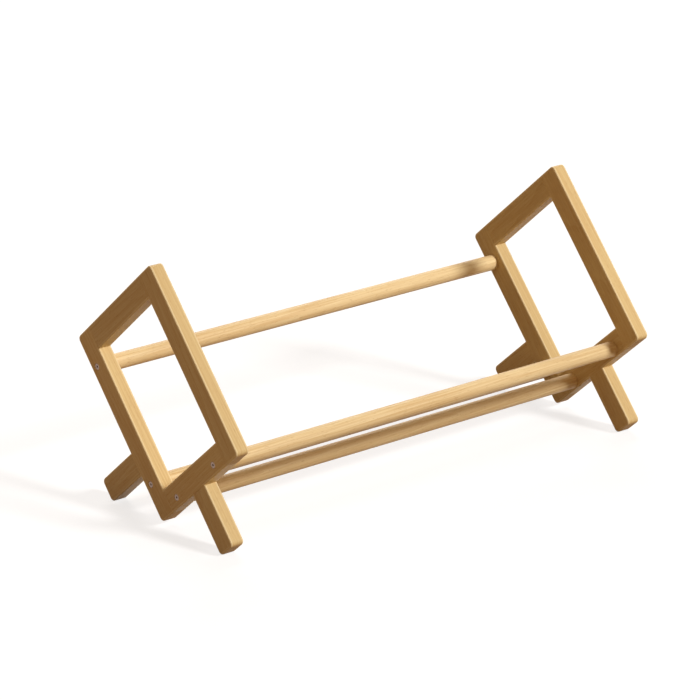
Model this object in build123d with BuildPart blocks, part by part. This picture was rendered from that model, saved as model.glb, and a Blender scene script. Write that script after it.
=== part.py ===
from build123d import *
import os
from math import atan2, cos, radians, sin, tan

# A tilted desktop bookshelf: a wooden end frame on splayed legs at each end, joined by round rods.
# Millimetres. X runs along the rods, Y to the back, Z up from the table top, with the origin there
# below the middle of the part.
# An end frame is laid out flat, u running back along its rails and v up along its stiles, both from
# the frame's front lower corner. The legs then tip that flat layout back.

# Whole rack
overall_length = 780
frame_depth = 237
frame_height = 300

# Planed strip that the stiles, rails and legs are cut from
strip_width = 36.5
strip_thickness = 22
corner_radius = 7
edge_radius = 2

# Legs
leg_reach = 95.5
rear_leg_gap = 7.6

# Rods: gaps run from the inner edge of the nearest crossing strip to the rod's axis
rod_diameter = 24
rod_edge_margin = 1.9
rod_end_ease = 0.6
front_seat_rod_gap = 27
rear_seat_rod_gap = 23
back_rod_gap = 18.3

# Stub tenons at the ends of the rails
tenon_length = 20
tenon_thickness = 7
tenon_shoulder = 7

# Dowels that hold the legs
dowel_diameter = 8
dowel_length = 30
dowel_end_ease = 1
dowel_spacing_share = 0.48

# Countersunk socket bolts
bolt_diameter = 5
bolt_head_diameter = 9.5
bolt_head_rim = 0.5
bolt_head_sink = 0.2
bolt_tip_overshoot = 2
socket_across_flats = 3
socket_depth = 1.8
countersink_angle = 90

# Threaded inserts in the rod ends
insert_wall = 1.6
insert_length = 14
insert_groove_depth = 0.6
insert_groove_width = 1.2
insert_groove_count = 4

# Clearances
glue_gap = 0.1
blind_gap = 0.5
bolt_gap = 0.25
thread_gap = 0.1
overrun = 1

# Layout of an end frame, in u and v
rod_radius = rod_diameter / 2
rod_inset = rod_edge_margin + rod_radius
front_seat_rod_u = strip_width + front_seat_rod_gap
rear_seat_rod_u = frame_depth - strip_width - rear_seat_rod_gap
lower_back_rod_v = strip_width + back_rod_gap
upper_back_rod_v = frame_height - strip_width - back_rod_gap
rod_places = {
    "front_seat": (front_seat_rod_u, rod_inset),
    "rear_seat": (rear_seat_rod_u, rod_inset),
    "lower_back": (frame_depth - rod_inset, lower_back_rod_v),
    "upper_back": (frame_depth - rod_inset, upper_back_rod_v),
}
front_leg_u = (front_seat_rod_u + rear_seat_rod_u) / 2
rear_leg_v = lower_back_rod_v + rod_radius + rear_leg_gap + strip_width / 2

# The frame tips back until the lowest corner of each leg is on the table
tilt = atan2(
    rear_leg_v - strip_width / 2 + leg_reach,
    frame_depth + leg_reach - front_leg_u - strip_width / 2,
)
u_direction = Vector(0, cos(tilt), -sin(tilt))
v_direction = Vector(0, sin(tilt), cos(tilt))

# Centres of the rounded corners that the part's depth and its stand are measured to
front_corner = u_direction * corner_radius + v_direction * corner_radius
top_corner = u_direction * (frame_depth - corner_radius) + v_direction * (frame_height - corner_radius)
foot_corner = (
    u_direction * (front_leg_u + strip_width / 2 - corner_radius)
    + v_direction * (corner_radius - leg_reach)
)
layout = Plane(
    origin=(0, -(front_corner.Y + top_corner.Y) / 2, corner_radius - foot_corner.Z),
    x_dir=u_direction,
    z_dir=(1, 0, 0),
)

# Places along X: the left end is built, and the right end is its mirror image
inner_face_x = strip_thickness - overall_length / 2
outer_face_x = -overall_length / 2
strip_middle_x = (inner_face_x + outer_face_x) / 2
rod_length = overall_length - 2 * strip_thickness


def strip_plane(u, v, facing, across):
    """A plane at (u, v) in the middle of the left frame's thickness, facing along a strip."""
    return Plane(layout.from_local_coords((u, v, strip_middle_x)), x_dir=across, z_dir=facing)


front_joint = strip_plane(strip_width, frame_height / 2, u_direction, v_direction)
rear_joint = strip_plane(frame_depth - strip_width, frame_height / 2, u_direction, v_direction)
front_leg_joint = strip_plane(front_leg_u, 0, v_direction, u_direction)
rear_leg_joint = strip_plane(frame_depth, rear_leg_v, u_direction, v_direction)
mid_height = strip_plane(frame_depth / 2, frame_height / 2, v_direction, u_direction)

# Fits that two pieces share
tenon_width = strip_width - 2 * tenon_shoulder
tenon_offset = frame_height / 2 - strip_width / 2
dowel_spacing = strip_width * dowel_spacing_share
dowel_hole_radius = dowel_diameter / 2 + glue_gap
dowel_hole_depth = dowel_length / 2 + blind_gap
bolt_radius = bolt_diameter / 2
bolt_reach = insert_length + bolt_tip_overshoot
insert_bore_radius = bolt_radius + thread_gap
insert_radius = insert_bore_radius + insert_wall
insert_hole_radius = insert_radius + glue_gap


def outer_face(place):
    """The left frame's outer face at a rod's axis, facing out."""
    return Plane(
        layout.from_local_coords((*rod_places[place], outer_face_x)),
        x_dir=u_direction,
        z_dir=(-1, 0, 0),
    )


def rod_end(place):
    """The left end of a rod, facing out towards the frame."""
    return Plane(
        layout.from_local_coords((*rod_places[place], inner_face_x)),
        x_dir=u_direction,
        z_dir=(-1, 0, 0),
    )


# The glued-up end frame: its corners and edges are rounded over after gluing, so the strips run
# flush across every joint
with BuildPart() as end_frame:
    with BuildSketch(layout.offset(outer_face_x)):
        RectangleRounded(frame_depth, frame_height, corner_radius, align=(Align.MIN, Align.MIN))
        with Locations((front_leg_u, -leg_reach)):
            RectangleRounded(
                strip_width, leg_reach + strip_width / 2, corner_radius, align=(Align.CENTER, Align.MIN)
            )
        with Locations((frame_depth + leg_reach, rear_leg_v)):
            RectangleRounded(
                leg_reach + strip_width / 2, strip_width, corner_radius, align=(Align.MAX, Align.CENTER)
            )
        with Locations((frame_depth / 2, frame_height / 2)):
            Rectangle(frame_depth - 2 * strip_width, frame_height - 2 * strip_width, mode=Mode.SUBTRACT)
    extrude(amount=strip_thickness)
    fillet(end_frame.faces().filter_by(Axis.X).edges(), edge_radius)


def mortises(joint, depth):
    """Cuts the pair of mortises for the top and bottom rails into a stile."""
    with BuildSketch(joint) as openings:
        with Locations((-tenon_offset, 0), (tenon_offset, 0)):
            SlotOverall(tenon_width + 2 * glue_gap, tenon_thickness + 2 * glue_gap)
    extrude(openings.sketch, amount=depth, mode=Mode.SUBTRACT)


def tenons(side):
    """Adds a tenon to each end of a rail, on the side of the frame's middle that the rail is."""
    for joint, length in ((front_joint, -tenon_length), (rear_joint, tenon_length)):
        with BuildSketch(joint) as section:
            with Locations((side * tenon_offset, 0)):
                SlotOverall(tenon_width, tenon_thickness)
        extrude(section.sketch, amount=length)


def dowel_holes(joint, depth):
    """Drills the pair of dowel holes of a leg joint."""
    with BuildSketch(joint) as mouths:
        with Locations((-dowel_spacing / 2, 0), (dowel_spacing / 2, 0)):
            Circle(dowel_hole_radius)
    extrude(mouths.sketch, amount=depth, mode=Mode.SUBTRACT)


def bolt_holes(*places):
    """Drills and countersinks a strip's outer face for the bolts of these rods."""
    head_hole_radius = bolt_head_diameter / 2 + bolt_gap
    rim_depth = bolt_head_sink + bolt_head_rim
    with Locations(*[outer_face(place) for place in places]):
        Hole(head_hole_radius, rim_depth)
    with Locations(*[outer_face(place).offset(-rim_depth) for place in places]):
        CounterSinkHole(
            bolt_radius + bolt_gap, head_hole_radius, strip_thickness + overrun, countersink_angle
        )


# Front stile: the strip along the front of the frame, full height
with BuildPart() as front_stile:
    add(end_frame.part)
    split(bisect_by=front_joint, keep=Keep.BOTTOM)
    mortises(front_joint, -(tenon_length + blind_gap))

# Rear stile: carries the rear leg and both back rods
with BuildPart() as rear_stile:
    add(end_frame.part)
    split(bisect_by=rear_joint, keep=Keep.TOP)
    split(bisect_by=rear_leg_joint, keep=Keep.BOTTOM)
    mortises(rear_joint, tenon_length + blind_gap)
    dowel_holes(rear_leg_joint, -dowel_hole_depth)
    bolt_holes("lower_back", "upper_back")

# Top rail: between the stiles, tenoned into both
with BuildPart() as top_rail:
    add(end_frame.part)
    split(bisect_by=front_joint, keep=Keep.TOP)
    split(bisect_by=rear_joint, keep=Keep.BOTTOM)
    split(bisect_by=mid_height, keep=Keep.TOP)
    tenons(1)

# Bottom rail: carries the front leg and both seat rods
with BuildPart() as bottom_rail:
    add(end_frame.part)
    split(bisect_by=front_joint, keep=Keep.TOP)
    split(bisect_by=rear_joint, keep=Keep.BOTTOM)
    split(bisect_by=mid_height, keep=Keep.BOTTOM)
    split(bisect_by=front_leg_joint, keep=Keep.TOP)
    tenons(-1)
    dowel_holes(front_leg_joint, dowel_hole_depth)
    bolt_holes("front_seat", "rear_seat")

# Front leg: butted under the bottom rail, in line with the stiles
with BuildPart() as front_leg:
    add(end_frame.part)
    split(bisect_by=front_leg_joint, keep=Keep.BOTTOM)
    dowel_holes(front_leg_joint, -dowel_hole_depth)

# Rear leg: butted on the back of the rear stile, in line with the rails
with BuildPart() as rear_leg:
    add(end_frame.part)
    split(bisect_by=rear_leg_joint, keep=Keep.TOP)
    dowel_holes(rear_leg_joint, dowel_hole_depth)


def dowel_pair(joint):
    """The two dowels across a leg joint, with eased ends."""
    with BuildPart() as pair:
        with BuildSketch(joint.offset(-dowel_length / 2)):
            with Locations((-dowel_spacing / 2, 0), (dowel_spacing / 2, 0)):
                Circle(dowel_diameter / 2)
        extrude(amount=dowel_length)
        chamfer(pair.edges().filter_by(GeomType.CIRCLE), dowel_end_ease)
    return pair.part


def bolt(place):
    """The socket bolt that runs through the strip into one end of a rod."""
    head_top = outer_face(place).offset(-bolt_head_sink)
    head_slope = countersink_angle / 2
    head_cone_depth = (bolt_head_diameter - bolt_diameter) / 2 / tan(radians(head_slope))
    with BuildPart() as piece:
        with BuildSketch(head_top):
            Circle(bolt_radius)
        extrude(amount=-(strip_thickness - bolt_head_sink + bolt_reach))
        with BuildSketch(head_top):
            Circle(bolt_head_diameter / 2)
        extrude(amount=-bolt_head_rim)
        with BuildSketch(head_top.offset(-bolt_head_rim)):
            Circle(bolt_head_diameter / 2)
        extrude(amount=-head_cone_depth, taper=head_slope)
        with BuildSketch(head_top):
            RegularPolygon(socket_across_flats / 2, side_count=6, major_radius=False)
        extrude(amount=-socket_depth, mode=Mode.SUBTRACT)
    return piece.part


def insert(place):
    """The grooved threaded sleeve in one end of a rod."""
    mouth = rod_end(place)
    groove_pitch = insert_length / (insert_groove_count + 1)
    with BuildPart() as sleeve:
        with BuildSketch(mouth):
            Circle(insert_radius)
            Circle(insert_bore_radius, mode=Mode.SUBTRACT)
        extrude(amount=-insert_length)
        for groove in range(insert_groove_count):
            groove_start = (groove + 1) * groove_pitch - insert_groove_width / 2
            with BuildSketch(mouth.offset(-groove_start)):
                Circle(insert_radius)
                Circle(insert_radius - insert_groove_depth, mode=Mode.SUBTRACT)
            extrude(amount=-insert_groove_width, mode=Mode.SUBTRACT)
    return sleeve.part


def rod(place):
    """A round rod between the end frames, drilled at both ends for its inserts."""
    left_end = rod_end(place)
    right_end = Plane(left_end.origin + (rod_length, 0, 0), x_dir=u_direction, z_dir=(1, 0, 0))
    with BuildPart() as bar:
        with BuildSketch(left_end):
            Circle(rod_radius)
        extrude(amount=-rod_length)
        chamfer(bar.edges().filter_by(GeomType.CIRCLE), rod_end_ease)
        with Locations(left_end, right_end):
            Hole(insert_hole_radius, bolt_reach + blind_gap)
    return bar.part


# Pieces of the left end, each with a mirrored twin at the right end
end_pieces = {
    "front_stile": front_stile.part,
    "rear_stile": rear_stile.part,
    "top_rail": top_rail.part,
    "bottom_rail": bottom_rail.part,
    "front_leg": front_leg.part,
    "rear_leg": rear_leg.part,
    "front_leg_dowels": dowel_pair(front_leg_joint),
    "rear_leg_dowels": dowel_pair(rear_leg_joint),
}
for place in rod_places:
    end_pieces[f"{place}_bolt"] = bolt(place)
    end_pieces[f"{place}_insert"] = insert(place)

os.makedirs("parts", exist_ok=True)
for name, piece in end_pieces.items():
    piece.label = f"left_{name}"
    export_step(piece, f"parts/left_{name}.step")
    with BuildPart() as twin:
        mirror(piece, about=Plane.YZ)
    twin.part.label = f"right_{name}"
    export_step(twin.part, f"parts/right_{name}.step")

for place in rod_places:
    bar = rod(place)
    bar.label = f"{place}_rod"
    export_step(bar, f"parts/{place}_rod.step")
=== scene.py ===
from math import cos, pi, radians, sin
from random import Random

import bmesh
import bpy
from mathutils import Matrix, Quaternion, Vector


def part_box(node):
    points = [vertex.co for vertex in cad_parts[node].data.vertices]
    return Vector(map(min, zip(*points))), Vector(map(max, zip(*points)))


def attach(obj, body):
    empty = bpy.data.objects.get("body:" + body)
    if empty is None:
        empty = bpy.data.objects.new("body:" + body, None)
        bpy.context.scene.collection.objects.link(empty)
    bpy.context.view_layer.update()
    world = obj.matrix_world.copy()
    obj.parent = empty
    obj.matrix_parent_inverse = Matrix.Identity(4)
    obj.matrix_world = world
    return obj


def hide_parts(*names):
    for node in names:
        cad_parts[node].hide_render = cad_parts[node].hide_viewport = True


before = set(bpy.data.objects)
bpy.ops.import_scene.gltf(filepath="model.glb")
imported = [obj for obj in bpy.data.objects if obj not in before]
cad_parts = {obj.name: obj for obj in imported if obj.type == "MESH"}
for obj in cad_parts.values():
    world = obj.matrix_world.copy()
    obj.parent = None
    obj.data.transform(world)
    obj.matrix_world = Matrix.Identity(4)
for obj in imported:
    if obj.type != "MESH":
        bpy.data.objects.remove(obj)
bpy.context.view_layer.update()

# End frames
# Two stiles and two rails of planed beech, glued at the corners with stub tenons, and two legs butted on
# with dowels. Each frame is rounded over and sanded flush as a whole, so its faces run through the joints.
ends = {"left": -1, "right": 1}
rod_places = ("front_seat", "rear_seat", "lower_back", "upper_back")


def middle(node):
    """The middle of a CAD node's box."""
    lowest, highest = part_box(node)
    return (lowest + highest) / 2


# The frames are tipped back: their rails run rearward, like the line from one seat rod to the other
lengthwise = Vector((1, 0, 0))
rearward = (middle("rear_seat_rod") - middle("front_seat_rod")).normalized()
upward = lengthwise.cross(rearward)


def reach(node, direction):
    """The lowest and highest place of a CAD node along a direction."""
    places = [vertex.co.dot(direction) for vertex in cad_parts[node].data.vertices]
    return min(places), max(places)


front, window_front = reach("right_front_stile", rearward)
window_rear, rear = reach("right_rear_stile", rearward)
low, high = reach("right_front_stile", upward)
window_low = reach("right_bottom_rail", upward)[1]
window_high = reach("right_top_rail", upward)[0]
leg_front, leg_rear = reach("right_front_leg", rearward)
foot = reach("right_front_leg", upward)[0]
leg_low, leg_high = reach("right_rear_leg", upward)
heel = reach("right_rear_leg", rearward)[1]
inner_face, outer_face = reach("right_front_stile", lengthwise)

corner_radius = 0.007
corner_steps = 8
edge_radius = 0.002
edge_steps = 5
edge_fade = 0.0016
# Corners of the frame and of its window, walked with the wood on the left: place rearward, upward and radius
outline = [
    (front, low, corner_radius),
    (leg_front, low, 0),
    (leg_front, foot, corner_radius),
    (leg_rear, foot, corner_radius),
    (leg_rear, low, 0),
    (rear, low, corner_radius),
    (rear, leg_low, 0),
    (heel, leg_low, corner_radius),
    (heel, leg_high, corner_radius),
    (rear, leg_high, 0),
    (rear, high, corner_radius),
    (front, high, corner_radius),
]
window = [
    (window_front, window_low, 0),
    (window_front, window_high, 0),
    (window_rear, window_high, 0),
    (window_rear, window_low, 0),
]


def inset_loop(corners, inset):
    """The points of an outline of square corners, moved into the wood by an inset."""
    points = []
    for i, (back, up, radius) in enumerate(corners):
        corner = Vector((back, up))
        before = (corner - Vector(corners[i - 1][:2])).normalized()
        after = (Vector(corners[(i + 1) % len(corners)][:2]) - corner).normalized()
        wood_before = Vector((-before.y, before.x))
        wood_after = Vector((-after.y, after.x))
        if not radius:
            points.append(corner + (wood_before + wood_after) * inset)
            continue
        centre = corner + (wood_before + wood_after) * radius
        for step in range(corner_steps + 1):
            angle = pi / 2 * step / corner_steps
            outward = -wood_before * cos(angle) - wood_after * sin(angle)
            points.append(centre + outward * (radius - inset))
    return points


def add_skin(shape, rings, capped):
    """Adds the faces from each ring of a bmesh to the next, and one across each end if it is capped."""
    for near, far in zip(rings, rings[1:]):
        for i in range(len(near)):
            shape.faces.new((near[i - 1], near[i], far[i], far[i - 1]))
    if capped:
        shape.faces.new(rings[0])
        shape.faces.new(rings[-1])


def frame_blank(side):
    """A whole end frame before it is cut into strips, rounded over, with its edges marked for wear and a
    painted highlight.
    """
    blank = bmesh.new()
    edge_wear_and_highlight = blank.verts.layers.float.new("edge_wear_and_highlight")
    # From the inner face round both edges to the outer face: inset, place lengthwise, and the mark for wear
    # and a painted highlight
    section = [(edge_radius + edge_fade, inner_face, 0)]
    for step in range(edge_steps + 1):
        angle = pi / 2 * step / edge_steps
        section.append((edge_radius * (1 - sin(angle)), inner_face + edge_radius * (1 - cos(angle)), 1))
    section.append((0, inner_face + edge_radius + edge_fade, 0))
    section += [(inset, inner_face + outer_face - place, wear_and_highlight) for inset, place, wear_and_highlight in reversed(section)]
    # The first and last rings, of the outline and of the window, are the rims of the two flat faces
    rims = {0: [], len(section) - 1: []}
    for corners in (outline, window):
        rings = []
        for inset, place, wear_and_highlight in section:
            ring = []
            for point in inset_loop(corners, inset):
                spot = lengthwise * place * side + rearward * point.x + upward * point.y
                ring.append(blank.verts.new(spot))
                ring[-1][edge_wear_and_highlight] = wear_and_highlight
            rings.append(ring)
        add_skin(blank, rings, capped=False)
        for end, rim in rims.items():
            rim += [blank.edges.get((rings[end][i - 1], rings[end][i])) for i in range(len(rings[end]))]
    for rim in rims.values():
        bmesh.ops.triangle_fill(blank, edges=rim, use_beauty=True)
    bmesh.ops.recalc_face_normals(blank, faces=blank.faces)
    return blank


# How each strip is sawn from the blank: a cut is a direction and the furthest that the strip reaches along
# it. The ends that butt on another strip are its shoulders. They stop a hairline short of that strip, so that
# the two faces don't coincide, and their sharp edges are broken.
saw_tolerance = 1e-7
hairline = 0.00001
shoulder_ease = 0.0003
mid_height = (low + high) / 2
rail_shoulders = [(-rearward, -window_front - hairline), (rearward, window_rear - hairline)]
strips = {
    "front_stile": {"grain": upward, "cuts": [(rearward, window_front)], "shoulders": []},
    "rear_stile": {"grain": upward, "cuts": [(-rearward, -window_rear), (rearward, rear)], "shoulders": []},
    "top_rail": {"grain": rearward, "cuts": [(-upward, -mid_height)], "shoulders": rail_shoulders},
    "bottom_rail": {
        "grain": rearward, "cuts": [(upward, mid_height), (-upward, -low)], "shoulders": rail_shoulders
    },
    "front_leg": {"grain": upward, "cuts": [], "shoulders": [(upward, low - hairline)]},
    "rear_leg": {"grain": rearward, "cuts": [], "shoulders": [(-rearward, -rear - hairline)]},
}


def saw(strip, direction, place):
    """Cuts off what lies past a place along a direction, and gives the faces that close the strip there."""
    geometry = [*strip.verts, *strip.edges, *strip.faces]
    bmesh.ops.bisect_plane(
        strip, geom=geometry, dist=saw_tolerance,
        plane_co=direction * place, plane_no=direction, clear_outer=True,
    )
    open_edges = [edge for edge in strip.edges if edge.is_boundary]
    return bmesh.ops.holes_fill(strip, edges=open_edges)["faces"]


def sawn_strip(side, cuts, shoulders):
    """One strip of an end frame, cut from the blank."""
    strip = frame_blank(side)
    for direction, place in cuts:
        saw(strip, direction, place)
    for direction, place in shoulders:
        rim = [edge for face in saw(strip, direction, place) for edge in face.edges]
        bmesh.ops.bevel(strip, geom=rim, offset=shoulder_ease, segments=1, affect="EDGES")
    return strip


# Joinery: each end of a rail has a round-ended stub tenon, glued into a mortise in the stile, and two dowels
# run across each leg joint. The holes leave room for glue, and are a little deeper than what goes in.
tenon_front, tenon_rear = reach("right_top_rail", rearward)
tenon_shoulder = 0.007
tenon_width = window_front - front - 2 * tenon_shoulder
tenon_thickness = 0.007
tenon_root = 0.004
rail_heights = {"bottom_rail": (low + window_low) / 2, "top_rail": (window_high + high) / 2}
dowel_radius = 0.004
# The way that the dowels of each leg run, and the way from one to the other
dowel_runs = {"front_leg": (upward, rearward), "rear_leg": (rearward, upward)}
glue_gap = 0.0001
blind_gap = 0.0005
strip_middle = (inner_face + outer_face) / 2
bar_sides = 32


def add_bar(shape, start, end, across, width, thickness):
    """Adds a closed round-ended bar to a bmesh, which is a cylinder where its width is its thickness."""
    aside = (end - start).normalized().cross(across)
    rings = []
    for place in (start, end):
        ring = []
        for step in range(bar_sides):
            # Half a step on, every corner lies clearly in one of the two round ends
            angle = 2 * pi * (step + 0.5) / bar_sides
            flat = (width - thickness) / 2 * (1 if cos(angle) > 0 else -1)
            offset = across * (flat + thickness / 2 * cos(angle)) + aside * (thickness / 2 * sin(angle))
            ring.append(shape.verts.new(place + offset))
        rings.append(ring)
    add_skin(shape, rings, capped=True)


def add_tenons(shape, side, height, gap, spare):
    """Adds both tenons of a rail to a bmesh, or its mortises where there is a gap and a spare depth."""
    centre = lengthwise * strip_middle * side + upward * height
    for root, tip in (
        (window_front + tenon_root, tenon_front - spare),
        (window_rear - tenon_root, tenon_rear + spare),
    ):
        start = centre + rearward * root
        end = centre + rearward * tip
        add_bar(shape, start, end, upward, tenon_width + 2 * gap, tenon_thickness + 2 * gap)


def add_dowel_holes(shape, side, leg):
    """Adds the two dowel holes of a leg joint to a bmesh, each into both strips."""
    along, across = dowel_runs[leg]
    low_end, high_end = reach(f"right_{leg}_dowels", along)
    first, last = reach(f"right_{leg}_dowels", across)
    width = 2 * (dowel_radius + glue_gap)
    for place in (first + dowel_radius, last - dowel_radius):
        centre = lengthwise * strip_middle * side + across * place
        start = centre + along * (low_end - blind_gap)
        end = centre + along * (high_end + blind_gap)
        add_bar(shape, start, end, across, width, width)


# Bolt seats: countersunk holes through the bottom rails and rear stiles, a little wider than the bolts
seat_gap = 0.00025
shank_radius = 0.0025
head_rim = 0.0005
overrun = 0.001
turning_steps = 48


def head_face(bolt):
    """How far the flat of a CAD bolt's head is from the middle of the rack, lengthwise."""
    return max(abs(corner.x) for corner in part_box(bolt))


def add_turned(shape, profile, centre):
    """Adds a closed turned shape to a bmesh: (place, radius) pairs along X around a centre line."""
    rings = []
    for place, radius in profile:
        ring = []
        for step in range(turning_steps):
            angle = 2 * pi * step / turning_steps
            spot = (place, centre.y + radius * cos(angle), centre.z + radius * sin(angle))
            ring.append(shape.verts.new(spot))
        rings.append(ring)
    add_skin(shape, rings, capped=True)


def add_bolt_seats(shape, name, side):
    """Adds the four bolt seats of one end frame to a bmesh."""
    for place in rod_places:
        bolt = f"{name}_{place}_bolt"
        lowest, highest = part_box(bolt)
        seat_radius = (highest.y - lowest.y) / 2 + seat_gap
        hole_radius = shank_radius + seat_gap
        seat_floor = head_face(bolt) - head_rim
        profile = [
            (outer_face + overrun, seat_radius),
            (seat_floor, seat_radius),
            (seat_floor - seat_radius + hole_radius, hole_radius),
            (inner_face - overrun, hole_radius),
        ]
        add_turned(shape, [(side * x, radius) for x, radius in profile], middle(bolt))


def new_piece(name, mesh):
    """An object of a finished mesh, in the scene."""
    piece = bpy.data.objects.new(name, mesh)
    bpy.context.collection.objects.link(piece)
    return piece


def made_piece(name, shape):
    """An object of a bmesh, which is then freed."""
    bmesh.ops.recalc_face_normals(shape, faces=shape.faces)
    mesh = bpy.data.meshes.new(name)
    shape.to_mesh(mesh)
    shape.free()
    return new_piece(name, mesh)


def settle(piece):
    """Turns a piece's modifiers into plain mesh."""
    depsgraph = bpy.context.evaluated_depsgraph_get()
    evaluated = piece.evaluated_get(depsgraph)
    mesh = bpy.data.meshes.new_from_object(evaluated, preserve_all_data_layers=True, depsgraph=depsgraph)
    piece.modifiers.clear()
    piece.data = mesh


def combine(piece, tool, operation):
    """Cuts a piece with a tool, or joins the tool to it."""
    step = piece.modifiers.new(tool.name, "BOOLEAN")
    step.object = tool
    step.operation = operation
    step.solver = "EXACT"
    settle(piece)


def linear(colour):
    """A shader colour from an sRGB hex value."""
    channels = [int(colour[i:i + 2], 16) / 255 for i in (1, 3, 5)]
    return (*[c / 12.92 if c <= 0.04045 else ((c + 0.055) / 1.055) ** 2.4 for c in channels], 1)


def add(tree, kind, inputs=None, **settings):
    """Adds a node to a tree with its settings, and sets or links its inputs."""
    node = tree.nodes.new(kind)
    for name, value in settings.items():
        setattr(node, name, value)
    for socket, value in (inputs or {}).items():
        if isinstance(value, bpy.types.NodeSocket):
            tree.links.new(value, node.inputs[socket])
        else:
            node.inputs[socket].default_value = value
    return node


# Satin lacquered beech: an even honey colour with faint growth rings, fine streaks and short brown flecks
# along the grain. The lacquer has a soft sheen and soaks into the browner end grain. The rounded edges get a
# paler line, partly lacquer worn thin there and partly a painted highlight. Rings and flecks are drawn twice
# as coarse as in real beech, so that they show.
honey = linear("#E0C78F")
amber = linear("#D2B178")
# A paler line for the rounded edges: partly lacquer worn thin, partly a painted highlight
pale_edge_highlight = linear("#F6E3B5")
fleck_brown = linear("#A9773C")
end_brown = linear("#B98A4B")
# Where the board lies in the log, and how far the tone of a piece moves it
pith_offset = Vector((0.11, 0.17, 0.03))
pith_lean = radians(1.6)
board_shift = Vector((0.05, 0.04, 0.37))
# Growth rings: a wave texture of scale 1 turns through 20 radians in a metre
ring_spacing = 0.0042
ring_wander = 0.007
wave_radians = 20
ring_scale = 2 * pi / wave_radians / ring_spacing
# Patches of noise: width across the grain, length along it, and the number of finer layers in them. Each
# layer has a share of the strength of the one before.
wander_patch = (0.05, 0.22, 2)
streak_patch = (0.0024, 0.11, 3)
drift_patch = (0.05, 0.22, 1)
fleck_patch = (0.0011, 0.009, 1)
finer_share = 0.55
# Each pattern runs from 0 to 1 about its middle, and counts in the figure with a contrast of its own
pattern_middle = 0.5
ring_contrast = 0.38
streak_contrast = 1.65
drift_contrast = 1
# Levels at which flecks and end grain start to show and show in full, and how much they then tint the wood
fleck_start = 0.63
fleck_full = 0.75
fleck_strength = 0.35
end_start = 0.7
end_full = 0.99
end_darkness = 0.5
# How far the rounded edges are painted paler, for wear and a painted highlight
edge_highlight_paleness = 0.6
board_tones = 0.05
# The lacquer is smooth up to one level of the streaks and rough from another, and rougher on end grain
lacquer_ior_level = 0.16
lacquer_smooth = 0.43
lacquer_rough = 0.55
smooth_until = 0.3
rough_from = 0.7
end_roughness = 0.12
# Relief of the grain, in which a fleck is a dip
grain_depth = 0.0002
grain_strength = 0.25
fleck_relief = -0.6


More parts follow.
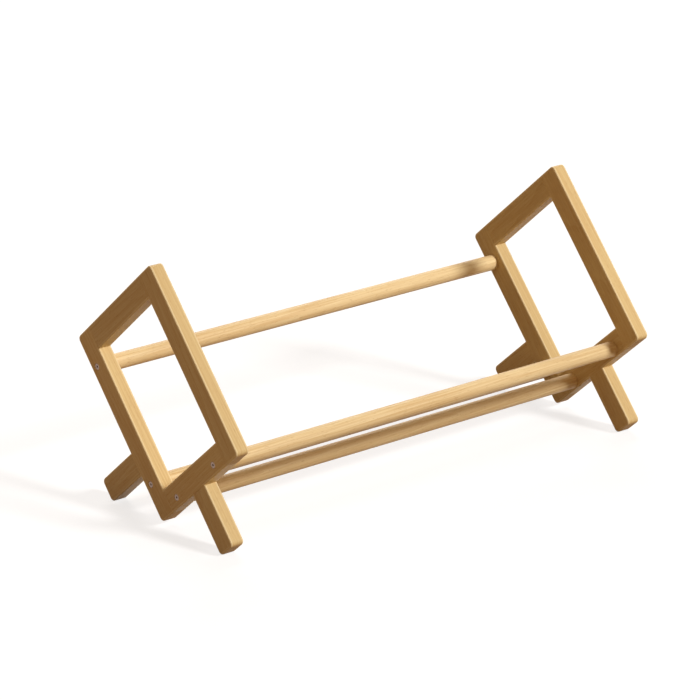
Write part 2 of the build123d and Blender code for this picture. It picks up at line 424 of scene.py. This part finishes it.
def lacquered_beech(name, grain, light, dark):
    """Lacquered beech of two shades, whose grain runs along a direction."""
    material = bpy.data.materials.new(name)
    material.use_nodes = True
    tree = material.node_tree
    # Each piece is cut from a place of its own in the log, which its tone sets
    tone = add(tree, "ShaderNodeAttribute", attribute_name="tone").outputs["Fac"]
    position = add(tree, "ShaderNodeTexCoord").outputs["Object"]
    turn = Quaternion((0, 1, 0), pith_lean) @ grain.rotation_difference(Vector((0, 0, 1)))
    log = add(
        tree, "ShaderNodeMapping", {"Vector": position, "Rotation": turn.to_euler(), "Location": pith_offset}
    ).outputs["Vector"]
    shift = add(
        tree, "ShaderNodeVectorMath", {0: board_shift, "Scale": tone}, operation="SCALE"
    ).outputs["Vector"]
    board = add(tree, "ShaderNodeVectorMath", {0: log, 1: shift}, operation="ADD").outputs["Vector"]

    def along_grain(patch):
        """Noise stretched along the grain, in patches of a size."""
        width, length, finer = patch
        stretched = add(
            tree, "ShaderNodeMapping", {"Vector": board, "Scale": (1 / width, 1 / width, 1 / length)}
        ).outputs["Vector"]
        return add(
            tree, "ShaderNodeTexNoise",
            {"Vector": stretched, "Scale": 1, "Detail": finer, "Roughness": finer_share},
        ).outputs

    wander = add(
        tree, "ShaderNodeVectorMath",
        {0: along_grain(wander_patch)["Color"], 1: (ring_wander, ring_wander, 0), 2: board},
        operation="MULTIPLY_ADD",
    ).outputs["Vector"]
    rings = add(
        tree, "ShaderNodeTexWave", {"Vector": wander, "Scale": ring_scale, "Distortion": 0},
        wave_type="RINGS", rings_direction="Z", wave_profile="SAW",
    ).outputs["Fac"]
    streaks = along_grain(streak_patch)["Fac"]
    drift = along_grain(drift_patch)["Fac"]
    flecks = add(
        tree, "ShaderNodeMapRange",
        {"Value": along_grain(fleck_patch)["Fac"], "From Min": fleck_start, "From Max": fleck_full},
    ).outputs["Result"]

    figure = pattern_middle
    for pattern, contrast in ((rings, ring_contrast), (streaks, streak_contrast), (drift, drift_contrast)):
        centred = add(
            tree, "ShaderNodeMath", {0: pattern, 1: pattern_middle}, operation="SUBTRACT"
        ).outputs[0]
        figure = add(
            tree, "ShaderNodeMath", {0: centred, 1: contrast, 2: figure}, operation="MULTIPLY_ADD"
        ).outputs[0]
    normal = add(tree, "ShaderNodeNewGeometry").outputs["True Normal"]
    facing = add(
        tree, "ShaderNodeVectorMath", {0: normal, 1: grain}, operation="DOT_PRODUCT"
    ).outputs["Value"]
    facing = add(tree, "ShaderNodeMath", {0: facing}, operation="ABSOLUTE").outputs[0]
    end_grain = add(
        tree, "ShaderNodeMapRange", {"Value": facing, "From Min": end_start, "From Max": end_full}
    ).outputs["Result"]
    # The rounded edges, marked for wear and a painted highlight
    edge_wear_and_highlight = add(tree, "ShaderNodeAttribute", attribute_name="edge_wear_and_highlight").outputs["Fac"]

    # A mix of colours has its share at input 0, its colours at 6 and 7, and its result at output 2
    colour = add(tree, "ShaderNodeMix", {0: figure, 6: light, 7: dark}, data_type="RGBA").outputs[2]
    for mask, strength, shade in (
        (flecks, fleck_strength, fleck_brown),
        (end_grain, end_darkness, end_brown),
        (edge_wear_and_highlight, edge_highlight_paleness, pale_edge_highlight),
    ):
        share = add(tree, "ShaderNodeMath", {0: mask, 1: strength}, operation="MULTIPLY").outputs[0]
        colour = add(tree, "ShaderNodeMix", {0: share, 6: colour, 7: shade}, data_type="RGBA").outputs[2]
    value = add(tree, "ShaderNodeMath", {0: tone, 1: board_tones, 2: 1}, operation="MULTIPLY_ADD").outputs[0]
    colour = add(tree, "ShaderNodeHueSaturation", {"Value": value, "Color": colour}).outputs["Color"]

    sheen = add(
        tree, "ShaderNodeMapRange",
        {
            "Value": streaks, "From Min": smooth_until, "From Max": rough_from,
            "To Min": lacquer_smooth, "To Max": lacquer_rough,
        },
    ).outputs["Result"]
    roughness = add(
        tree, "ShaderNodeMath", {0: end_grain, 1: end_roughness, 2: sheen}, operation="MULTIPLY_ADD"
    ).outputs[0]
    relief = add(
        tree, "ShaderNodeMath", {0: flecks, 1: fleck_relief, 2: streaks}, operation="MULTIPLY_ADD"
    ).outputs[0]
    bump = add(
        tree, "ShaderNodeBump", {"Height": relief, "Strength": grain_strength, "Distance": grain_depth}
    ).outputs["Normal"]
    shader = tree.nodes["Principled BSDF"]
    shader.inputs["Specular IOR Level"].default_value = lacquer_ior_level
    tree.links.new(colour, shader.inputs["Base Color"])
    tree.links.new(roughness, shader.inputs["Roughness"])
    tree.links.new(bump, shader.inputs["Normal"])
    return material


strip_beech = {
    tuple(upward): lacquered_beech("lacquered_beech_stiles", upward, honey, amber),
    tuple(rearward): lacquered_beech("lacquered_beech_rails", rearward, honey, amber),
}
strip_tones = Random(8)
smooth_angle = radians(35)
flat_weight = 100
for name, side in ends.items():
    drilling = bmesh.new()
    add_bolt_seats(drilling, name, side)
    for leg in dowel_runs:
        add_dowel_holes(drilling, side, leg)
    drill = made_piece(f"{name}_drill", drilling)
    mortising = bmesh.new()
    for height in rail_heights.values():
        add_tenons(mortising, side, height, glue_gap, blind_gap)
    mortiser = made_piece(f"{name}_mortiser", mortising)
    for strip, made in strips.items():
        piece = made_piece(f"{name}_{strip}_beech", sawn_strip(side, made["cuts"], made["shoulders"]))
        piece.data.materials.append(strip_beech[tuple(made["grain"])])
        combine(piece, drill, "DIFFERENCE")
        if strip in ("front_stile", "rear_stile"):
            combine(piece, mortiser, "DIFFERENCE")
        if strip in rail_heights:
            tenoning = bmesh.new()
            add_tenons(tenoning, side, rail_heights[strip], 0, 0)
            tenons = made_piece(f"{name}_{strip}_tenons", tenoning)
            combine(piece, tenons, "UNION")
            bpy.data.objects.remove(tenons)
        piece.data.shade_smooth()
        piece.data.set_sharp_from_angle(angle=smooth_angle)
        flats = piece.modifiers.new("flat faces", "WEIGHTED_NORMAL")
        flats.keep_sharp = True
        flats.weight = flat_weight
        settle(piece)
        tone = piece.data.attributes.new("tone", "FLOAT", "POINT")
        tone.data.foreach_set("value", [strip_tones.uniform(-1, 1)] * len(piece.data.vertices))
        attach(piece, "root")
        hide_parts(f"{name}_{strip}")
    bpy.data.objects.remove(drill)
    bpy.data.objects.remove(mortiser)

# Leg dowels
# Plain beech dowels, two across each leg joint, glued into blind holes with no finish on them.
# They are hidden inside the wood, pale and dry to look at.
dowel_pale = linear("#E0C79B")
dowel_dark = linear("#C9A873")
fibre_patch = (0.0012, 0.11, 2)
fibre_strength = 0.5
bare_smooth = 0.65
bare_rough = 0.85


def bare_beech(name, grain):
    """Unfinished beech, streaked along a direction."""
    material = bpy.data.materials.new(name)
    material.use_nodes = True
    tree = material.node_tree
    width, length, finer = fibre_patch
    position = add(tree, "ShaderNodeTexCoord").outputs["Object"]
    turn = grain.rotation_difference(Vector((0, 0, 1))).to_euler()
    upright = add(tree, "ShaderNodeMapping", {"Vector": position, "Rotation": turn}).outputs["Vector"]
    fibres = add(
        tree, "ShaderNodeMapping", {"Vector": upright, "Scale": (1 / width, 1 / width, 1 / length)}
    ).outputs["Vector"]
    streaks = add(tree, "ShaderNodeTexNoise", {"Vector": fibres, "Scale": 1, "Detail": finer}).outputs["Fac"]
    colour = add(
        tree, "ShaderNodeMix", {0: streaks, 6: dowel_pale, 7: dowel_dark}, data_type="RGBA"
    ).outputs[2]
    dry = add(
        tree, "ShaderNodeMapRange", {"Value": streaks, "To Min": bare_smooth, "To Max": bare_rough}
    ).outputs["Result"]
    bump = add(
        tree, "ShaderNodeBump", {"Height": streaks, "Strength": fibre_strength, "Distance": grain_depth}
    ).outputs["Normal"]
    shader = tree.nodes["Principled BSDF"]
    tree.links.new(colour, shader.inputs["Base Color"])
    tree.links.new(dry, shader.inputs["Roughness"])
    tree.links.new(bump, shader.inputs["Normal"])
    return material


for leg, (along, _) in dowel_runs.items():
    dowel_beech = bare_beech(f"bare_beech_{leg}_dowels", along)
    for name in ends:
        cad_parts[f"{name}_{leg}_dowels"].material_slots[0].material = dowel_beech

# Rods
# Four round rods of turned beech, lacquered like the frames but from paler stock. Their ends are eased,
# drilled for the threaded inserts and butted on the inner faces of the frames, where bolts draw them tight.
rod_pale = linear("#F0DAA9")
rod_streak = linear("#D9B883")
rod_ease = 0.0006
rod_ease_steps = 3
rod_ease_angle = radians(60)
rod_sides = 96
rod_tree = bpy.data.node_groups.new("turned_rod", "GeometryNodeTree")
rod_inputs = {}
for label, kind in (
    ("Start", "NodeSocketVector"),
    ("End", "NodeSocketVector"),
    ("Radius", "NodeSocketFloat"),
    ("Sides", "NodeSocketInt"),
    ("Tone", "NodeSocketFloat"),
    ("Finish", "NodeSocketMaterial"),
):
    rod_inputs[label] = rod_tree.interface.new_socket(label, in_out="INPUT", socket_type=kind).identifier
rod_tree.interface.new_socket("Rod", in_out="OUTPUT", socket_type="NodeSocketGeometry")
given = add(rod_tree, "NodeGroupInput").outputs
axis = add(
    rod_tree, "GeometryNodeCurvePrimitiveLine", {"Start": given["Start"], "End": given["End"]}
).outputs[0]
section = add(
    rod_tree, "GeometryNodeCurvePrimitiveCircle", {"Resolution": given["Sides"], "Radius": given["Radius"]}
).outputs[0]
rod = add(
    rod_tree, "GeometryNodeCurveToMesh", {"Curve": axis, "Profile Curve": section, "Fill Caps": True}
).outputs[0]
rod = add(
    rod_tree, "GeometryNodeStoreNamedAttribute", {"Geometry": rod, "Name": "tone", "Value": given["Tone"]},
    data_type="FLOAT", domain="POINT",
).outputs[0]
rod = add(rod_tree, "GeometryNodeRealizeInstances", {0: rod}).outputs[0]
rod = add(rod_tree, "GeometryNodeSetMaterial", {"Geometry": rod, "Material": given["Finish"]}).outputs[0]
add(rod_tree, "NodeGroupOutput", {"Rod": rod})

insert_drilling = bmesh.new()
for name, side in ends.items():
    for place in rod_places:
        insert = f"{name}_{place}_insert"
        lowest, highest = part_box(insert)
        hole_radius = (highest.y - lowest.y) / 2 + glue_gap
        bolt_tip = min(abs(corner.x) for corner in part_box(f"{name}_{place}_bolt"))
        profile = [
            (side * (inner_face + overrun), hole_radius),
            (side * (bolt_tip - blind_gap), hole_radius),
        ]
        add_turned(insert_drilling, profile, middle(insert))
insert_drill = made_piece("insert_drill", insert_drilling)

rod_beech = lacquered_beech("lacquered_beech_rods", lengthwise, rod_pale, rod_streak)
rod_tones = Random(5)
for place in rod_places:
    lowest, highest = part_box(f"{place}_rod")
    centre = middle(f"{place}_rod")
    piece = new_piece(f"{place}_rod_beech", bpy.data.meshes.new(f"{place}_rod_beech"))
    turning = piece.modifiers.new("turned rod", "NODES")
    turning.node_group = rod_tree
    turning[rod_inputs["Start"]] = (lowest.x, centre.y, centre.z)
    turning[rod_inputs["End"]] = (highest.x, centre.y, centre.z)
    turning[rod_inputs["Radius"]] = (highest.z - lowest.z) / 2
    turning[rod_inputs["Sides"]] = rod_sides
    turning[rod_inputs["Tone"]] = rod_tones.uniform(-1, 1)
    turning[rod_inputs["Finish"]] = rod_beech
    easing = piece.modifiers.new("eased ends", "BEVEL")
    easing.width = rod_ease
    easing.segments = rod_ease_steps
    easing.angle_limit = rod_ease_angle
    settle(piece)
    combine(piece, insert_drill, "DIFFERENCE")
    piece.data.shade_smooth()
    piece.data.set_sharp_from_angle(angle=smooth_angle)
    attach(piece, "root")
    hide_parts(f"{place}_rod")
bpy.data.objects.remove(insert_drill)

# Threaded inserts
# Turned brass sleeves glued into the ends of the rods, with grooves round them that the glue keys into.
# They take the thread of the bolts. Out of sight, the brass stays yellow, with patches of dull tarnish.
brass_bright = linear("#CFA861")
brass_dull = linear("#A98445")
brass_smooth = 0.25
brass_rough = 0.45
tarnish_size = 0.004
tarnish_finer = 3
brass = bpy.data.materials.new("turned_brass")
brass.use_nodes = True
tree = brass.node_tree
position = add(tree, "ShaderNodeTexCoord").outputs["Object"]
tarnish = add(
    tree, "ShaderNodeTexNoise", {"Vector": position, "Scale": 1 / tarnish_size, "Detail": tarnish_finer}
).outputs["Fac"]
colour = add(tree, "ShaderNodeMix", {0: tarnish, 6: brass_bright, 7: brass_dull}, data_type="RGBA").outputs[2]
dull = add(
    tree, "ShaderNodeMapRange", {"Value": tarnish, "To Min": brass_smooth, "To Max": brass_rough}
).outputs["Result"]
shader = tree.nodes["Principled BSDF"]
shader.inputs["Metallic"].default_value = 1
tree.links.new(colour, shader.inputs["Base Color"])
tree.links.new(dull, shader.inputs["Roughness"])
for name in ends:
    for place in rod_places:
        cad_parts[f"{name}_{place}_insert"].material_slots[0].material = brass

# Socket bolts
# Countersunk steel bolts with a hexagon socket, one into each rod end, set just below the face of the frame.
# Their heads are turned and plated with nickel, so that rings show round the socket.
head_ease = 0.0002
socket_flats = 0.003
socket_depth = 0.0018
socket_lip = 0.0003
socket_point = 0.0006
socket_point_radius = 0.0001
tip_ease = 0.0008
bolt_low, bolt_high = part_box(f"right_{rod_places[0]}_bolt")
bolt_length = bolt_high.x - bolt_low.x
head_radius = (bolt_high.y - bolt_low.y) / 2
# The turn round the axis that one flat of the hexagon takes up, from corner to corner
flat_turn = pi / 3
socket_corner = socket_flats / 2 / cos(flat_turn / 2)
# Rings down the bolt from the bottom of its socket to its tip: place, radius, and if the ring is a hexagon
bolt_rings = [
    (-socket_depth - socket_point, socket_point_radius, False),
    (-socket_depth, socket_corner, True),
    (-socket_lip, socket_corner, True),
    (0, socket_corner + socket_lip, False),
    (0, head_radius - head_ease, False),
    (-head_ease, head_radius, False),
    (-head_rim, head_radius, False),
    (-head_rim - head_radius + shank_radius, shank_radius, False),
    (tip_ease - bolt_length, shank_radius, False),
    (-bolt_length, shank_radius - tip_ease, False),
]
bolt_shape = bmesh.new()
from_axis = bolt_shape.verts.layers.float.new("from_axis")
rings = []
for place, radius, hexagon in bolt_rings:
    ring = []
    for step in range(turning_steps):
        angle = 2 * pi * step / turning_steps
        flat = cos(flat_turn / 2) / cos(angle % flat_turn - flat_turn / 2) if hexagon else 1
        ring.append(bolt_shape.verts.new((place, radius * flat * cos(angle), radius * flat * sin(angle))))
        ring[-1][from_axis] = radius * flat
    rings.append(ring)
add_skin(bolt_shape, rings, capped=True)
one_bolt = made_piece("one_bolt", bolt_shape)
one_bolt.data.shade_smooth()
one_bolt.data.set_sharp_from_angle(angle=smooth_angle)

# Nickel-plated steel: a warm grey mirror, softened by the turning marks of the head. They are drawn about
# five times as coarse as on a real bolt, so that they show.
nickel = linear("#8B7466")
nickel_smooth = 0.25
nickel_rough = 0.45
mark_pitch = 0.0006
mark_finer = 2
mark_depth = 0.00005
mark_strength = 0.3
plating = bpy.data.materials.new("nickel_plated_steel")
plating.use_nodes = True
tree = plating.node_tree
distance = add(tree, "ShaderNodeAttribute", attribute_name="from_axis").outputs["Fac"]
turns = add(tree, "ShaderNodeMath", {0: distance, 1: mark_pitch}, operation="DIVIDE").outputs[0]
marks = add(
    tree, "ShaderNodeTexNoise", {"W": turns, "Scale": 1, "Detail": mark_finer}, noise_dimensions="1D"
).outputs["Fac"]
dull = add(
    tree, "ShaderNodeMapRange", {"Value": marks, "To Min": nickel_smooth, "To Max": nickel_rough}
).outputs["Result"]
bump = add(
    tree, "ShaderNodeBump", {"Height": marks, "Strength": mark_strength, "Distance": mark_depth}
).outputs["Normal"]
shader = tree.nodes["Principled BSDF"]
shader.inputs["Metallic"].default_value = 1
shader.inputs["Base Color"].default_value = nickel
tree.links.new(dull, shader.inputs["Roughness"])
tree.links.new(bump, shader.inputs["Normal"])

# The bolts go in at the centres of their heads, each with its socket left at a turn of its own
bolt_seed = 3
seats = bmesh.new()
facing = seats.verts.layers.float.new("facing")
for name, side in ends.items():
    for place in rod_places:
        cad_bolt = f"{name}_{place}_bolt"
        centre = middle(cad_bolt)
        seat = seats.verts.new((side * head_face(cad_bolt), centre.y, centre.z))
        seat[facing] = side
bolt_tree = bpy.data.node_groups.new("fitted_bolts", "GeometryNodeTree")
bolt_inputs = {}
for label, kind in (
    ("Seats", "NodeSocketGeometry"),
    ("Bolt", "NodeSocketObject"),
    ("Seed", "NodeSocketInt"),
    ("Finish", "NodeSocketMaterial"),
):
    bolt_inputs[label] = bolt_tree.interface.new_socket(label, in_out="INPUT", socket_type=kind).identifier
bolt_tree.interface.new_socket("Bolts", in_out="OUTPUT", socket_type="NodeSocketGeometry")
given = add(bolt_tree, "NodeGroupInput").outputs
bolt = add(bolt_tree, "GeometryNodeObjectInfo", {"Object": given["Bolt"]}).outputs["Geometry"]
# A random number has its range at inputs 2 and 3 and its value at output 1
twist = add(
    bolt_tree, "FunctionNodeRandomValue", {2: 0, 3: flat_turn, "Seed": given["Seed"]}, data_type="FLOAT"
).outputs[1]
# Bolts are drawn facing the right, and those of the left end are turned round
way = add(bolt_tree, "GeometryNodeInputNamedAttribute", {"Name": "facing"}, data_type="FLOAT").outputs[0]
about = add(
    bolt_tree, "ShaderNodeMath", {0: way, 1: -pi / 2, 2: pi / 2}, operation="MULTIPLY_ADD"
).outputs[0]
turn = add(bolt_tree, "ShaderNodeCombineXYZ", {"X": twist, "Z": about}).outputs[0]
turn = add(bolt_tree, "FunctionNodeEulerToRotation", {0: turn}).outputs[0]
bolts = add(
    bolt_tree, "GeometryNodeInstanceOnPoints", {"Points": given["Seats"], "Instance": bolt, "Rotation": turn}
).outputs[0]
bolts = add(bolt_tree, "GeometryNodeRealizeInstances", {0: bolts}).outputs[0]
bolts = add(bolt_tree, "GeometryNodeSetMaterial", {"Geometry": bolts, "Material": given["Finish"]}).outputs[0]
add(bolt_tree, "NodeGroupOutput", {"Bolts": bolts})
piece = made_piece("socket_bolts", seats)
fitting = piece.modifiers.new("fitted bolts", "NODES")
fitting.node_group = bolt_tree
fitting[bolt_inputs["Bolt"]] = one_bolt
fitting[bolt_inputs["Seed"]] = bolt_seed
fitting[bolt_inputs["Finish"]] = plating
settle(piece)
bpy.data.objects.remove(one_bolt)
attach(piece, "root")
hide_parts(*[f"{name}_{place}_bolt" for name in ends for place in rod_places])

# Studio
# A plain pale floor under a soft lamp from the front and a weaker, wider one from behind, with a warm fill.
# The camera stands where the photograph was taken from.
floor_white = linear("#FFFFFF")
floor_grey = linear("#A0A0A0")
floor_bounce = linear("#8C704C")
floor_glow = 0.75
floor_half = 20
fill_colour = linear("#FFD4A8")
fill_strength = 0.29


def seen_directly(tree):
    """One for rays from the camera and for what shows in gloss or through glass, nought for the rest."""
    rays = add(tree, "ShaderNodeLightPath").outputs
    seen = rays["Is Camera Ray"]
    for kind in ("Is Glossy Ray", "Is Transmission Ray"):
        seen = add(tree, "ShaderNodeMath", {0: seen, 1: rays[kind]}, operation="MAXIMUM").outputs[0]
    return seen


floor_shape = bmesh.new()
bmesh.ops.create_grid(floor_shape, x_segments=1, y_segments=1, size=floor_half)
floor = made_piece("floor", floor_shape)
floor_paper = bpy.data.materials.new("pale_paper")
floor_paper.use_nodes = True
tree = floor_paper.node_tree
tree.nodes.clear()
glow = add(tree, "ShaderNodeEmission", {"Color": floor_white, "Strength": floor_glow}).outputs[0]
shaded = add(tree, "ShaderNodeBsdfDiffuse", {"Color": floor_grey}).outputs[0]
white = add(tree, "ShaderNodeAddShader", {0: glow, 1: shaded}).outputs[0]
paper = add(tree, "ShaderNodeBsdfDiffuse", {"Color": floor_bounce}).outputs[0]
surface = add(tree, "ShaderNodeMixShader", {0: seen_directly(tree), 1: paper, 2: white}).outputs[0]
add(tree, "ShaderNodeOutputMaterial", {"Surface": surface})
floor.data.materials.append(floor_paper)

world = bpy.data.worlds.new("studio")
bpy.context.scene.world = world
world.use_nodes = True
tree = world.node_tree
tree.nodes.clear()
fill = add(tree, "ShaderNodeBackground", {"Color": fill_colour, "Strength": fill_strength}).outputs[0]
white = add(tree, "ShaderNodeBackground", {"Color": floor_white, "Strength": 1}).outputs[0]
surface = add(tree, "ShaderNodeMixShader", {0: seen_directly(tree), 1: fill, 2: white}).outputs[0]
add(tree, "ShaderNodeOutputWorld", {"Surface": surface})

# Lamps: where the light comes from, its energy and how wide the lamp looks
for name, towards, energy, width in (
    ("key", Vector((0.32, -0.74, 0.57)), 2.55, radians(12)),
    ("back", Vector((0.45, 0.7, 0.58)), 1.2, radians(30)),
):
    light = bpy.data.lights.new(name, "SUN")
    light.energy = energy
    light.angle = width
    lamp = bpy.data.objects.new(name, light)
    lamp.rotation_euler = towards.to_track_quat("Z", "Y").to_euler()
    bpy.context.collection.objects.link(lamp)

# The camera, with its lens and film in millimetres and its turns about X, Y and Z in degrees
film_width = 36
lens_length = 185.619
camera_place = (-3.19857, -3.85311, 1.96276)
camera_turns = (70.3458, -0.0663, -39.3512)
camera_data = bpy.data.cameras.new("camera")
camera_data.sensor_width = film_width
camera_data.lens = lens_length
camera = bpy.data.objects.new("camera", camera_data)
camera.location = camera_place
camera.rotation_euler = [radians(turn) for turn in camera_turns]
bpy.context.collection.objects.link(camera)
bpy.context.scene.camera = camera
bpy.context.scene.view_settings.view_transform = "Standard"
